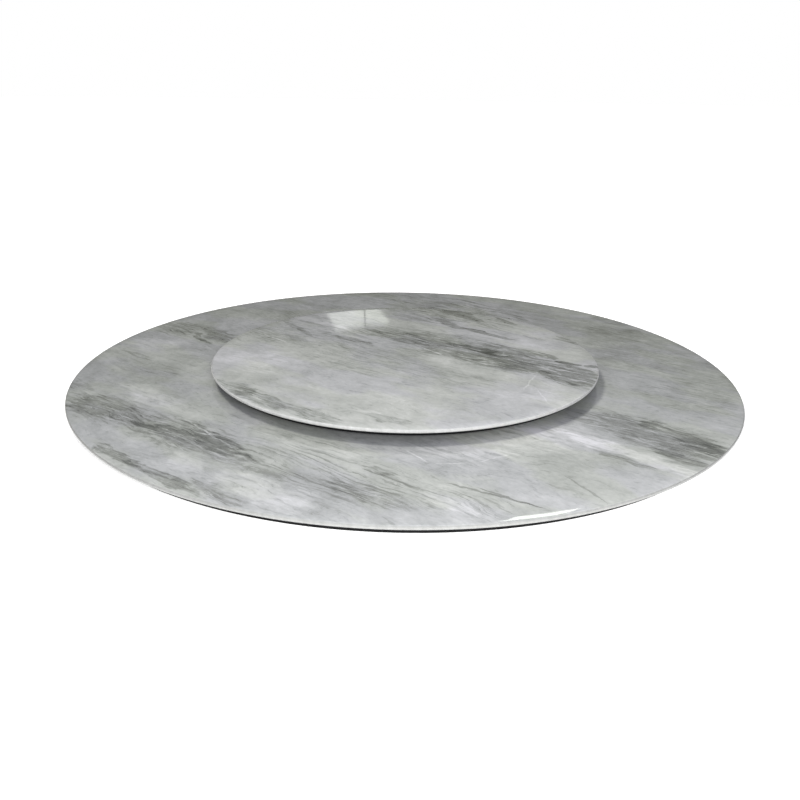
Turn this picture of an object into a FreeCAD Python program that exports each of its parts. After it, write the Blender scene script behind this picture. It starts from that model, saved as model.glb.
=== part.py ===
import FreeCAD, Part
import math
import os
import re

import Sketcher
from FreeCAD import Placement, Rotation, Vector

# Round stone dining table top with a stone turntable on a ball-bearing ring.
# The table top is a thin slab bonded to a stiffened underboard, which takes a pedestal.
# Millimetres, +Z up, origin at the centre of the underside.

# Driving dimensions: lengths in millimetres, and numbers of like pieces.
SIZES = {
    # table top
    "table_radius": 750,
    "table_slab_thickness": 9,
    "edge_rounding": 4.2,          # bullnose ground on both stone slabs
    "board_inset": 20,             # edge of the underboard in from the slab's edge
    "band_thickness": 1.5,         # edge band on both boards
    # pedestal plate, let in flush under the board
    "plate_margin": 30,            # plate beyond the pedestal's bolts
    "plate_thickness": 4,
    "plate_rounding": 12,
    "pedestal_bolt_spacing": 260,
    "pedestal_hole_radius": 4.5,
    "nut_across_flats": 13,
    "nut_bore_radius": 4,
    "nut_thickness": 6.5,
    "nut_pocket_clearance": 0.5,
    "nut_cover": 4,                # board left over the nuts' pockets
    "let_in_clearance": 0.3,       # routed recess round the plate and the stiffeners
    # stiffeners: flat steel bars from the plate out to the rim
    "bar_count": 4,
    "bar_width": 40,
    "bar_thickness": 5,
    "bar_rounding": 5,
    "bar_plate_gap": 15,           # from the plate's corners out
    "bar_rim_margin": 70,
    "bar_screw_count": 3,
    "bar_screw_margin": 25,
    # countersunk screws, all of one diameter
    "screw_radius": 2,
    "screw_head_radius": 3.9,
    "screw_head_height": 2,
    "screw_clearance": 0.1,
    "screw_cover": 2.5,            # board left over the end of a screw
    "screw_end_gap": 1.6,          # metal left between a cover screw and a foot
    # ring bearing
    "ball_pitch_radius": 230,
    "ball_radius": 3,
    "ball_count": 24,
    "ball_clearance": 0.05,
    "cage_thickness": 1.2,
    "cage_side_gap": 0.6,
    "cage_web": 1,                 # left above and below each pocket
    "cage_clearance": 0.1,
    "race_floor": 1.75,            # metal under the ball groove
    "race_cover": 1.15,            # metal over it
    "race_chamfer": 0.8,
    "cover_screw_count": 6,
    "foot_count": 6,
    "foot_radius": 7,
    "foot_stand": 1.5,             # height of the ring above the table top
    "foot_seat_depth": 1,
    "foot_clearance": 0.1,
    "foot_wall": 2.3,              # metal beside a foot
    "inner_race_width": 18.8,
    "inner_race_floor": 1.25,      # metal under the groove in the inner race
    "inner_screw_count": 6,
    "turntable_running_gap": 1.5,  # between the ring's cover and the backing board
    # turntable
    "turntable_radius": 445,
    "turntable_slab_thickness": 9,
    "backer_inset": 12,
    "backer_thickness": 8,
}

# Lengths that follow from the sizes, as formulas on the sheet.
NUT_POCKET_DEPTH = "(plate_thickness + nut_thickness + nut_pocket_clearance)"
BOARD_THICKNESS = f"({NUT_POCKET_DEPTH} + nut_cover)"
BOARD_SCREW_LENGTH = f"({BOARD_THICKNESS} - screw_cover)"
TABLE_TOP = f"({BOARD_THICKNESS} + table_slab_thickness)"
BOARD_RADIUS = "(table_radius - board_inset - band_thickness)"
BACKER_RADIUS = "(turntable_radius - backer_inset - band_thickness)"
PLATE_HALF = "(pedestal_bolt_spacing / 2 + plate_margin)"
BAR_START = f"({PLATE_HALF} * sqrt(2) + bar_plate_gap)"
BAR_END = f"({BOARD_RADIUS} - bar_rim_margin)"
BOLT_OFFSET = "(pedestal_bolt_spacing / 2)"
NUT_CORNER_RADIUS = "(nut_across_flats / 2 / cos(30 deg))"
GROOVE_RADIUS = "(ball_radius + ball_clearance)"
RACE_GAP = "(cage_thickness + 2 * cage_side_gap)"
BASE_HEIGHT = f"(race_floor + {GROOVE_RADIUS})"
COVER_HEIGHT = f"(race_cover + {GROOVE_RADIUS})"
BALL_HEIGHT = f"(foot_stand + {BASE_HEIGHT})"
COVER_TOP = f"({BALL_HEIGHT} + {COVER_HEIGHT})"
BACKER_HEIGHT = f"({COVER_TOP} + turntable_running_gap)"
OUTER_BORE = f"(ball_pitch_radius + {RACE_GAP} / 2)"
OUTER_WIDTH = "(2 * (foot_radius + foot_clearance + foot_wall))"
OUTER_MIDDLE = f"({OUTER_BORE} + {OUTER_WIDTH} / 2)"
OUTER_EDGE = f"({OUTER_BORE} + {OUTER_WIDTH})"
COVER_SCREW_LENGTH = f"({COVER_HEIGHT} + {BASE_HEIGHT} - foot_seat_depth - screw_end_gap)"
INNER_EDGE = f"(ball_pitch_radius - {RACE_GAP} / 2)"
INNER_BORE = f"({INNER_EDGE} - inner_race_width)"
INNER_MIDDLE = f"({INNER_EDGE} - inner_race_width / 2)"
INNER_LIFT = f"({BALL_HEIGHT} - {GROOVE_RADIUS} - inner_race_floor)"
INNER_HEIGHT = f"({BACKER_HEIGHT} - {INNER_LIFT})"
INNER_SCREW_LENGTH = f"({INNER_HEIGHT} + backer_thickness - screw_cover)"
CAGE_HALF_HEIGHT = "(ball_radius + cage_clearance + cage_web)"
FOOT_ANGLE = "(180 deg / foot_count)"

BULLNOSE_LIMIT = 0.48    # of a slab's thickness, so that a flat stays between its two roundings
LEAST_CUT = 0.1          # cubic millimetres: a cut that takes less has missed its piece

doc = FreeCAD.newDocument("StoneTableTop")
sheet = doc.addObject("Spreadsheet::Sheet", "Sizes")
for row, (alias, size) in enumerate(SIZES.items(), start=1):
    sheet.set(f"A{row}", str(size))
    sheet.setAlias(f"A{row}", alias)
doc.recompute()

parts = []


def on_sheet(formula):
    """The formula with every alias in it read from the sheet."""
    return re.sub("[a-z_]+", lambda word: f"Sizes.{word[0]}" if word[0] in SIZES else word[0], formula)


def bind(feature, **formulas):
    """Drive the named properties by formulas on the sheet."""
    for name, formula in formulas.items():
        feature.setExpression(name, on_sheet(formula))


def new_part(name, height="0"):
    """A body for one piece, standing at a height above the underside."""
    body = doc.addObject("PartDesign::Body", name)
    body.AllowCompound = True
    body.setExpression("Placement.Base.z", on_sheet(height))
    parts.append(body)
    return body


def origin_feature(body, role):
    return next(feature for feature in body.Origin.OriginFeatures if feature.Role == role)


def new_sketch(body, name, plane="XY_Plane", across="0", up="0"):
    """A sketch on one of the body's own planes, its origin moved within that plane."""
    sketch = body.newObject("Sketcher::SketchObject", name)
    sketch.AttachmentSupport = [(origin_feature(body, plane), "")]
    sketch.MapMode = "FlatFace"
    sketch.setExpression("AttachmentOffset.Base.x", on_sheet(across))
    sketch.setExpression("AttachmentOffset.Base.y", on_sheet(up))
    return sketch


def dimension(sketch, kind, where, start, formula):
    """One driven dimension: its kind, what it measures, a starting value and its formula."""
    index = sketch.addConstraint(Sketcher.Constraint(kind, *where, start))
    sketch.setExpression(f"Constraints[{index}]", on_sheet(formula))


def hold_point(sketch, geometry, end, start, across, up):
    """Dimensions from the sketch's origin to one point."""
    dimension(sketch, "DistanceX", (-1, 1, geometry, end), start.x, across)
    dimension(sketch, "DistanceY", (-1, 1, geometry, end), start.y, up)


def draw_circle(sketch, radius, across="0", up="0"):
    centre = Vector(1, 1, 0)
    circle = sketch.addGeometry(Part.Circle(centre, Vector(0, 0, 1), 1))
    hold_point(sketch, circle, 3, centre, across, up)
    dimension(sketch, "Radius", (circle,), 1, radius)


def draw_outline(sketch, corners):
    """A closed outline of straight lines through corners given as pairs of formulas."""
    count = len(corners)
    turn = 2 * math.pi / count
    rough = [Vector(math.cos(turn * n), math.sin(turn * n), 0) for n in range(count)]
    first = sketch.GeometryCount
    for n in range(count):
        sketch.addGeometry(Part.LineSegment(rough[n], rough[(n + 1) % count]))
    for n, (across, up) in enumerate(corners):
        line_before = first + (n - 1) % count
        sketch.addConstraint(Sketcher.Constraint("Coincident", line_before, 2, first + n, 1))
        hold_point(sketch, first + n, 1, rough[n], across, up)


def draw_rounded_rectangle(sketch, left, right, bottom, top, rounding):
    """A rectangle with a quarter circle at each corner, whose radius is one of the sizes."""
    corners = [
        (right, "-", top, "-"),
        (left, "+", top, "-"),
        (left, "+", bottom, "+"),
        (right, "-", bottom, "+"),
    ]
    for n, (side, inward, level, upright) in enumerate(corners):
        centre = sketch.addGeometry(Part.Point(Vector(n, n, 0)), True)
        hold_point(sketch, centre, 1, Vector(n, n, 0),
                   f"{side} {inward} {rounding}", f"{level} {upright} {rounding}")
    doc.recompute()
    quarter = math.pi / 2
    for n, centre in enumerate(sketch.Geometry):
        circle = Part.Circle(Vector(centre.X, centre.Y, 0), Vector(0, 0, 1), SIZES[rounding])
        arc = sketch.addGeometry(Part.ArcOfCircle(circle, n * quarter, (n + 1) * quarter))
        sketch.addConstraint(Sketcher.Constraint("Coincident", arc, 3, n, 1))
        dimension(sketch, "Radius", (arc,), SIZES[rounding], rounding)
    arcs = range(len(corners), 2 * len(corners))
    for n, arc in enumerate(arcs):
        following = arcs[(n + 1) % len(arcs)]
        ends = sketch.Geometry
        line = sketch.addGeometry(Part.LineSegment(ends[arc].EndPoint, ends[following].StartPoint))
        level, plumb = ("Vertical", "Horizontal") if n % 2 else ("Horizontal", "Vertical")
        sketch.addConstraint([
            Sketcher.Constraint("Coincident", arc, 2, line, 1),
            Sketcher.Constraint("Coincident", line, 2, following, 1),
            Sketcher.Constraint(level, arc, 1, arc, 3),
            Sketcher.Constraint(plumb, arc, 2, arc, 3),
        ])


def new_feature(body, kind, name, sketch):
    feature = body.newObject(f"PartDesign::{kind}", name)
    feature.Profile = sketch
    return feature


def pad(body, name, sketch, length):
    """Material added upwards from a sketch."""
    feature = new_feature(body, "Pad", name, sketch)
    bind(feature, Length=length)
    return feature


def pocket(body, name, sketch, depth):
    """Material cut away upwards, or outwards, from a sketch below or inside it."""
    feature = new_feature(body, "Pocket", name, sketch)
    feature.Reversed = True
    bind(feature, Length=depth)
    return feature


def lathe(body, kind, name, sketch):
    """A full turn of a profile about the sketch's upright axis: a Revolution or a Groove."""
    feature = new_feature(body, kind, name, sketch)
    feature.ReferenceAxis = (sketch, ["V_Axis"])
    feature.Angle = 360
    return feature


def repeat_round(body, name, features, count):
    """Features repeated evenly about the table's axis."""
    doc.recompute()
    pattern = body.newObject("PartDesign::PolarPattern", name)
    pattern.Originals = features
    pattern.Axis = (origin_feature(body, "Z_Axis"), [""])
    pattern.Angle = 360
    bind(pattern, Occurrences=count)
    body.Tip = pattern
    return pattern


def ring_section(bore, edge, bottom, top):
    return [(bore, bottom), (edge, bottom), (edge, top), (bore, top)]


def turned_ring(name, height, section):
    """A ring turned from its section, given as corners (radius, height)."""
    body = new_part(name, height)
    profile = new_sketch(body, f"{name}_section", "XZ_Plane")
    draw_outline(profile, section)
    lathe(body, "Revolution", f"{name}_blank", profile)
    return body


def screw_turning(body, kind, name, length, across="0", up="0", downward=False, clearance="0"):
    """A countersunk screw with its head's face at (across, up), or the hole that it needs."""
    sign = "-1" if downward else "1"
    profile = new_sketch(body, f"{name}_profile", "XZ_Plane", across, up)
    shank = f"(screw_radius + {clearance})"
    end = f"{sign} * ({length} + {clearance})"
    draw_outline(profile, [
        ("0", "0"),
        (f"screw_head_radius + {clearance}", "0"),
        (shank, f"{sign} * screw_head_height"),
        (shank, end),
        ("0", end),
    ])
    return lathe(body, kind, name, profile)


def screw_holes(body, name, length, across, up="0", downward=False):
    return screw_turning(body, "Groove", name, length, across, up, downward, "screw_clearance")


def bar_screw_places():
    """Radius of each screw along a stiffener, evenly spaced between its ends."""
    count = SIZES["bar_screw_count"]
    first = f"({BAR_START} + bar_screw_margin)"
    last = f"({BAR_END} - bar_screw_margin)"
    return [f"({first} + ({last} - {first}) * {n} / (bar_screw_count - 1))" for n in range(count)]


def cut_ball_groove(body, name, up):
    """Half of the ball track, turned into a race; up is the balls' height in the piece."""
    profile = new_sketch(body, f"{name}_section", "XZ_Plane")
    draw_circle(profile, GROOVE_RADIUS, "ball_pitch_radius", up)
    return lathe(body, "Groove", name, profile)


def make_slab(name, height, radius, thickness):
    """A round stone slab with both edges ground to a bullnose."""
    body = new_part(name, height)
    outline = new_sketch(body, f"{name}_outline")
    draw_circle(outline, radius)
    blank = pad(body, f"{name}_blank", outline, thickness)
    doc.recompute()
    bullnose = body.newObject("PartDesign::Fillet", f"{name}_bullnose")
    rims = [f"Edge{n}" for n, edge in enumerate(blank.Shape.Edges, start=1) if len(edge.Vertexes) == 1]
    bullnose.Base = (blank, rims)
    bind(bullnose, Radius=f"min(edge_rounding; {BULLNOSE_LIMIT} * {thickness})")
    return body


def make_underboard():
    """The plywood disc under the slab, routed for the plate, its nuts, the bars and their screws."""
    body = new_part("table_underboard")
    outline = new_sketch(body, "board_outline")
    draw_circle(outline, BOARD_RADIUS)
    pad(body, "board_blank", outline, BOARD_THICKNESS)

    plate_recess = new_sketch(body, "plate_recess_outline")
    half = f"({PLATE_HALF} + let_in_clearance)"
    draw_rounded_rectangle(plate_recess, f"-{half}", half, f"-{half}", half, "plate_rounding")
    pocket(body, "plate_recess", plate_recess, "plate_thickness")

    bar_recess = new_sketch(body, "bar_recess_outline")
    half = "(bar_width / 2 + let_in_clearance)"
    draw_rounded_rectangle(bar_recess, f"({BAR_START} - let_in_clearance)",
                           f"({BAR_END} + let_in_clearance)", f"-{half}", half, "bar_rounding")
    routed = [pocket(body, "bar_recess", bar_recess, "bar_thickness")]
    routed += [screw_holes(body, f"bar_screw_hole_{n}", BOARD_SCREW_LENGTH, place)
               for n, place in enumerate(bar_screw_places(), start=1)]
    repeat_round(body, "bar_recesses", routed, "bar_count")

    nut_pocket = new_sketch(body, "nut_pocket_outline")
    draw_circle(nut_pocket, f"{NUT_CORNER_RADIUS} + nut_pocket_clearance", BOLT_OFFSET, BOLT_OFFSET)
    corner_cuts = [
        pocket(body, "nut_pocket", nut_pocket, NUT_POCKET_DEPTH),
        screw_holes(body, "plate_screw_hole", BOARD_SCREW_LENGTH, BOLT_OFFSET),
    ]
    repeat_round(body, "plate_fixings", corner_cuts, "4")


def make_pedestal_plate():
    """The steel plate that a pedestal bolts to, with clearance holes under the weld nuts."""
    body = new_part("pedestal_plate")
    outline = new_sketch(body, "plate_outline")
    draw_rounded_rectangle(outline, f"-{PLATE_HALF}", PLATE_HALF, f"-{PLATE_HALF}", PLATE_HALF,
                           "plate_rounding")
    pad(body, "plate_blank", outline, "plate_thickness")
    bolt_hole = new_sketch(body, "bolt_hole_outline")
    draw_circle(bolt_hole, "pedestal_hole_radius", BOLT_OFFSET, BOLT_OFFSET)
    holes = [
        pocket(body, "bolt_hole", bolt_hole, "plate_thickness"),
        screw_holes(body, "plate_countersink", BOARD_SCREW_LENGTH, BOLT_OFFSET),
    ]
    repeat_round(body, "plate_holes", holes, "4")


def make_weld_nuts():
    """Four hexagon nuts welded on top of the plate, over its bolt holes."""
    body = new_part("weld_nuts", "plate_thickness")
    nut = body.newObject("PartDesign::AdditivePrism", "nut")
    nut.AttachmentSupport = [(origin_feature(body, "XY_Plane"), "")]
    nut.MapMode = "FlatFace"
    nut.Polygon = 6
    bind(nut, Circumradius=NUT_CORNER_RADIUS, Height="nut_thickness")
    nut.setExpression("AttachmentOffset.Base.x", on_sheet(BOLT_OFFSET))
    nut.setExpression("AttachmentOffset.Base.y", on_sheet(BOLT_OFFSET))
    bore = new_sketch(body, "nut_bore_outline")
    draw_circle(bore, "nut_bore_radius", BOLT_OFFSET, BOLT_OFFSET)
    repeat_round(body, "nuts", [nut, pocket(body, "nut_bore", bore, "nut_thickness")], "4")


def make_stiffener(number):
    """One flat steel bar, drilled and countersunk from below."""
    body = new_part(f"stiffener_{number}")
    turned = (number - 1) * 360 / SIZES["bar_count"]
    body.Placement = Placement(Vector(), Rotation(Vector(0, 0, 1), turned))
    outline = new_sketch(body, "bar_outline")
    draw_rounded_rectangle(outline, BAR_START, BAR_END, "-(bar_width / 2)", "(bar_width / 2)", "bar_rounding")
    pad(body, "bar_blank", outline, "bar_thickness")
    for n, place in enumerate(bar_screw_places(), start=1):
        screw_holes(body, f"bar_countersink_{n}", BOARD_SCREW_LENGTH, place)


def make_screws(name, height, length, places, count, downward=False):
    """A set of screws at the given radii, repeated about the table's axis."""
    body = new_part(name, height)
    screws = [screw_turning(body, "Revolution", f"{name}_{n}", length, place, downward=downward)
              for n, place in enumerate(places, start=1)]
    repeat_round(body, f"{name}_round", screws, count)


def make_outer_race_base():
    """The lower half of the outer race, on its feet, with half of the ball track."""
    body = turned_ring("outer_race_base", f"{TABLE_TOP} + foot_stand", [
        (OUTER_BORE, "0"),
        (f"{OUTER_EDGE} - race_chamfer", "0"),
        (OUTER_EDGE, "race_chamfer"),
        (OUTER_EDGE, BASE_HEIGHT),
        (OUTER_BORE, BASE_HEIGHT),
    ])
    cut_ball_groove(body, "base_ball_groove", BASE_HEIGHT)
    foot_seat = new_sketch(body, "foot_seat_outline")
    draw_circle(foot_seat, "foot_radius + foot_clearance",
                f"{OUTER_MIDDLE} * cos({FOOT_ANGLE})", f"{OUTER_MIDDLE} * sin({FOOT_ANGLE})")
    seat = pocket(body, "foot_seat", foot_seat, "foot_seat_depth")
    repeat_round(body, "foot_seats", [seat], "foot_count")
    hole = screw_holes(body, "base_screw_hole", COVER_SCREW_LENGTH, OUTER_MIDDLE,
                       f"{BASE_HEIGHT} + {COVER_HEIGHT}", downward=True)
    repeat_round(body, "base_screw_holes", [hole], "cover_screw_count")


def make_outer_race_cover():
    """The upper half of the outer race, which closes the ball track."""
    body = turned_ring("outer_race_cover", f"{TABLE_TOP} + {BALL_HEIGHT}", [
        (OUTER_BORE, "0"),
        (OUTER_EDGE, "0"),
        (OUTER_EDGE, f"{COVER_HEIGHT} - race_chamfer"),
        (f"{OUTER_EDGE} - race_chamfer", COVER_HEIGHT),
        (OUTER_BORE, COVER_HEIGHT),
    ])
    cut_ball_groove(body, "cover_ball_groove", "0")
    hole = screw_holes(body, "cover_countersink", COVER_SCREW_LENGTH, OUTER_MIDDLE,
                       COVER_HEIGHT, downward=True)
    repeat_round(body, "cover_countersinks", [hole], "cover_screw_count")


def make_rubber_feet():
    """Rubber discs seated in the base, which the ring stands on."""
    body = new_part("rubber_feet", TABLE_TOP)
    outline = new_sketch(body, "foot_outline")
    draw_circle(outline, "foot_radius",
                f"{OUTER_MIDDLE} * cos({FOOT_ANGLE})", f"{OUTER_MIDDLE} * sin({FOOT_ANGLE})")
    repeat_round(body, "feet", [pad(body, "foot", outline, "foot_stand + foot_seat_depth")], "foot_count")


def make_ball_cage():
    """A thin ring between the races with a round pocket for each ball."""
    body = turned_ring("ball_cage", f"{TABLE_TOP} + {BALL_HEIGHT}", ring_section(
        "ball_pitch_radius - cage_thickness / 2", "ball_pitch_radius + cage_thickness / 2",
        f"-{CAGE_HALF_HEIGHT}", CAGE_HALF_HEIGHT))
    outline = new_sketch(body, "cage_pocket_outline", "YZ_Plane")
    draw_circle(outline, "ball_radius + cage_clearance")
    cage_pocket = pocket(body, "cage_pocket", outline, "ball_pitch_radius + cage_thickness")
    repeat_round(body, "cage_pockets", [cage_pocket], "ball_count")


def make_bearing_balls():
    """The balls, each in its pocket of the cage and in the track between the races."""
    body = new_part("bearing_balls", f"{TABLE_TOP} + {BALL_HEIGHT}")
    half = new_sketch(body, "ball_half", "XZ_Plane", "ball_pitch_radius")
    quarter = math.pi / 2
    start = Vector(0, 0, 0)
    arc = half.addGeometry(Part.ArcOfCircle(Part.Circle(start, Vector(0, 0, 1), 1), -quarter, quarter))
    axis = half.addGeometry(Part.LineSegment(Vector(0, 1, 0), Vector(0, -1, 0)))
    half.addConstraint(Sketcher.Constraint("Coincident", arc, 3, -1, 1))
    half.addConstraint(Sketcher.Constraint("Coincident", arc, 2, axis, 1))
    half.addConstraint(Sketcher.Constraint("Coincident", axis, 2, arc, 1))
    half.addConstraint(Sketcher.Constraint("Vertical", axis))
    half.addConstraint(Sketcher.Constraint("PointOnObject", -1, 1, axis))
    dimension(half, "Radius", (arc,), 1, "ball_radius")
    repeat_round(body, "balls", [lathe(body, "Revolution", "ball", half)], "ball_count")


def make_inner_race():
    """The inner race, screwed up into the backing board, with its side of the ball track."""
    body = turned_ring("inner_race", f"{TABLE_TOP} + {INNER_LIFT}", [
        (f"{INNER_BORE} + race_chamfer", "0"),
        (INNER_EDGE, "0"),
        (INNER_EDGE, INNER_HEIGHT),
        (INNER_BORE, INNER_HEIGHT),
        (INNER_BORE, "race_chamfer"),
    ])
    cut_ball_groove(body, "inner_ball_groove", f"{BALL_HEIGHT} - {INNER_LIFT}")
    hole = screw_holes(body, "inner_countersink", INNER_SCREW_LENGTH, INNER_MIDDLE)
    repeat_round(body, "inner_countersinks", [hole], "inner_screw_count")


def make_turntable_backer():
    """The plywood disc that carries the turntable's slab, drilled for the inner race's screws."""
    body = new_part("turntable_backer", f"{TABLE_TOP} + {BACKER_HEIGHT}")
    outline = new_sketch(body, "backer_outline")
    draw_circle(outline, BACKER_RADIUS)
    pad(body, "backer_blank", outline, "backer_thickness")
    hole = screw_holes(body, "backer_pilot", INNER_SCREW_LENGTH, INNER_MIDDLE, f"-{INNER_HEIGHT}")
    repeat_round(body, "backer_pilots", [hole], "inner_screw_count")


make_slab("table_slab", BOARD_THICKNESS, "table_radius", "table_slab_thickness")
make_underboard()
turned_ring("table_edge_band", "0", ring_section(
    BOARD_RADIUS, f"{BOARD_RADIUS} + band_thickness", "0", BOARD_THICKNESS))
make_pedestal_plate()
make_weld_nuts()
make_screws("plate_screws", "0", BOARD_SCREW_LENGTH, [BOLT_OFFSET], "4")
for bar in range(1, SIZES["bar_count"] + 1):
    make_stiffener(bar)
make_screws("stiffener_screws", "0", BOARD_SCREW_LENGTH, bar_screw_places(), "bar_count")

make_rubber_feet()
make_outer_race_base()
make_outer_race_cover()
make_screws("cover_screws", f"{TABLE_TOP} + {COVER_TOP}", COVER_SCREW_LENGTH, [OUTER_MIDDLE],
            "cover_screw_count", downward=True)
make_ball_cage()
make_bearing_balls()
make_inner_race()
make_screws("inner_race_screws", f"{TABLE_TOP} + {INNER_LIFT}", INNER_SCREW_LENGTH,
            [INNER_MIDDLE], "inner_screw_count")

make_turntable_backer()
turned_ring("turntable_edge_band", f"{TABLE_TOP} + {BACKER_HEIGHT}", ring_section(
    BACKER_RADIUS, f"{BACKER_RADIUS} + band_thickness", "0", "backer_thickness"))
make_slab("turntable_slab", f"{TABLE_TOP} + {BACKER_HEIGHT} + backer_thickness",
          "turntable_radius", "turntable_slab_thickness")

doc.recompute()
for item in doc.Objects:
    if {"Invalid", "Error"} & set(item.State):
        raise RuntimeError(f"{item.Label} failed: {item.State}")
    if item.TypeId in ("PartDesign::Pocket", "PartDesign::Groove"):
        if item.Shape.Volume > item.BaseFeature.Shape.Volume - LEAST_CUT:
            raise RuntimeError(f"{item.Label} cuts nothing")

os.makedirs("parts", exist_ok=True)
for part in parts:
    if part.Shape.isNull() or not part.Shape.isValid():
        raise RuntimeError(f"{part.Label} has no valid shape")
for part in parts:
    part.Shape.exportStep(f"parts/{part.Label}.step")
    box = part.Shape.optimalBoundingBox()
    print(f"{part.Label}: {len(part.Shape.Solids)} solids, {part.Shape.Volume / 1000:.2f} cm3, "
          f"z {box.ZMin:.2f} to {box.ZMax:.2f}, x up to {box.XMax:.2f}")
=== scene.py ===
import math

import bmesh
import bpy
import numpy as np
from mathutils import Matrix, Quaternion, Vector


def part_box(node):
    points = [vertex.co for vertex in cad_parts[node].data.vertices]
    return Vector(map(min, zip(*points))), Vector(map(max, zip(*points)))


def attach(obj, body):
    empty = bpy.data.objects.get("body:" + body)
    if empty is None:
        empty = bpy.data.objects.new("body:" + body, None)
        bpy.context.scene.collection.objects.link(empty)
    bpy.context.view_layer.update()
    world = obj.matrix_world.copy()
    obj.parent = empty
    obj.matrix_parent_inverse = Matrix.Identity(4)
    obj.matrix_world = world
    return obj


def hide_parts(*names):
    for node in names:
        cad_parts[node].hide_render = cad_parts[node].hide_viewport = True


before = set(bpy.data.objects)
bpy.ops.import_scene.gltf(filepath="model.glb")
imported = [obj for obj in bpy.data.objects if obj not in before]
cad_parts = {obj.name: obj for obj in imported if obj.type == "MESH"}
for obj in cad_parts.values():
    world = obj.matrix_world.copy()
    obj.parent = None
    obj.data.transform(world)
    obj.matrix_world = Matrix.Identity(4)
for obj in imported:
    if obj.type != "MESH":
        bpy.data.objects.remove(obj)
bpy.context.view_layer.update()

# Boards. Two plywood discs carry the stone: the underboard, routed for its steelwork, and the
# turntable's backer. Birch plywood, cut and routed on a CNC router, then stained and sealed black.
MM = 0.001
BOARD_BLACK, BOARD_GRAIN = "#1d1b19", "#3f3933"
PLY_GRAIN_LENGTH, PLY_GRAIN_WIDTH = 90 * MM, 2.2 * MM
NOISE_LOW, NOISE_HIGH = 0.32, 0.7    # nearly all of a noise lies between these
SAME_POINT = 0.0001 * MM
FOLD = 30    # degrees


def linear(colour):
    """An sRGB hex colour as the linear RGBA of Blender's sockets, by the sRGB curve."""
    channels = [int(colour[n:n + 2], 16) / 255 for n in (1, 3, 5)]
    return [c / 12.92 if c <= 0.04045 else ((c + 0.055) / 1.055) ** 2.4 for c in channels] + [1]


def add_node(tree, kind, inputs=None, stops=None, **settings):
    """A node of a kind with its settings. Each input is a value or the socket that it reads, and
    stops are a colour ramp's places and hex colours."""
    made = tree.nodes.new(f"ShaderNode{kind}")
    for name, value in settings.items():
        setattr(made, name, value)
    for name, value in (inputs or {}).items():
        if isinstance(value, bpy.types.NodeSocket):
            tree.links.new(value, made.inputs[name])
        else:
            made.inputs[name].default_value = value
    for n, (place, colour) in enumerate((stops or {}).items()):
        ramp = made.color_ramp.elements
        stop = ramp[n] if n < 2 else ramp.new(place)
        stop.position, stop.color = place, linear(colour)
    return made


def new_finish(name, **constants):
    """A material, its node tree and its Principled shader's sockets; constants are set on those."""
    finish = bpy.data.materials.new(name)
    finish.use_nodes = True
    shader = finish.node_tree.nodes["Principled BSDF"]
    for socket, value in constants.items():
        shader.inputs[socket.replace("_", " ")].default_value = value
    return finish, finish.node_tree, shader.inputs


def grained(name, size, detail, low, high, relief, strength, **constants):
    """A finish with one noise in it: features of a size (x, y, z) with so many octaves of detail,
    coloured from low to high and raised by the relief, at a strength from 0 to 1."""
    finish, tree, sockets = new_finish(name, **constants)
    place = add_node(tree, "TexCoord").outputs["Object"]
    sized = add_node(tree, "Mapping", {"Vector": place, "Scale": size}, vector_type="TEXTURE").outputs[0]
    noise = add_node(tree, "TexNoise", {"Vector": sized, "Scale": 1, "Detail": detail}).outputs[0]
    colour = add_node(tree, "ValToRGB", {"Fac": noise}, {NOISE_LOW: low, NOISE_HIGH: high}).outputs[0]
    raised = add_node(tree, "Bump", {"Height": noise, "Distance": relief, "Strength": strength}).outputs[0]
    tree.links.new(colour, sockets["Base Color"])
    tree.links.new(raised, sockets["Normal"])
    return finish


def shade(mesh):
    """Doubled points at seams and poles are merged, and the shading is smooth except over folds that
    are sharper than FOLD."""
    built = bmesh.new()
    built.from_mesh(mesh)
    bmesh.ops.remove_doubles(built, verts=built.verts, dist=SAME_POINT)
    built.to_mesh(mesh)
    built.free()
    mesh.shade_smooth()
    mesh.set_sharp_from_angle(angle=math.radians(FOLD))


def put_in_place(name, mesh, finish, body, nodes):
    """The mesh as a piece that rides on a body in place of its CAD nodes."""
    mesh.materials.clear()
    mesh.materials.append(finish)
    piece = bpy.data.objects.new(name, mesh)
    bpy.context.scene.collection.objects.link(piece)
    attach(piece, body)
    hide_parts(*nodes)


def smooth_node(node, finish, body):
    """A CAD node as a merged copy, so that its round walls and holes are shaded smooth. The corner
    directions of its loose triangles are dropped, because they don't fit the merged points."""
    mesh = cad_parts[node].data.copy()
    if mesh.has_custom_normals:
        mesh.attributes.remove(mesh.attributes["custom_normal"])
    shade(mesh)
    put_in_place(f"{node}_smooth", mesh, finish, body, [node])


# Stained birch under matt sealer: long fine grain, nearly black, with a soft low sheen.
plywood = grained("sealed_plywood", (PLY_GRAIN_LENGTH, PLY_GRAIN_WIDTH, 1), detail=6, low=BOARD_BLACK,
                  high=BOARD_GRAIN, relief=0.1 * MM, strength=0.5, Roughness=0.55)
smooth_node("table_underboard", plywood, "tabletop")
smooth_node("turntable_backer", plywood, "turntable")


# Edge bands. Strips of satin black ABS glued round both boards, which make the dark line under each
# slab. Each is a thin ring with its corners broken.
BAND_BLACK, BAND_PAINTED_SHEEN = "#0c0c0d", "#141415"
BAND_THICKNESS, BAND_CORNER = 1.5 * MM, 0.3 * MM
DIE_DRAG_LENGTH, DIE_DRAG_WIDTH = 40 * MM, 0.4 * MM
ROUND_STEPS = 360


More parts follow.
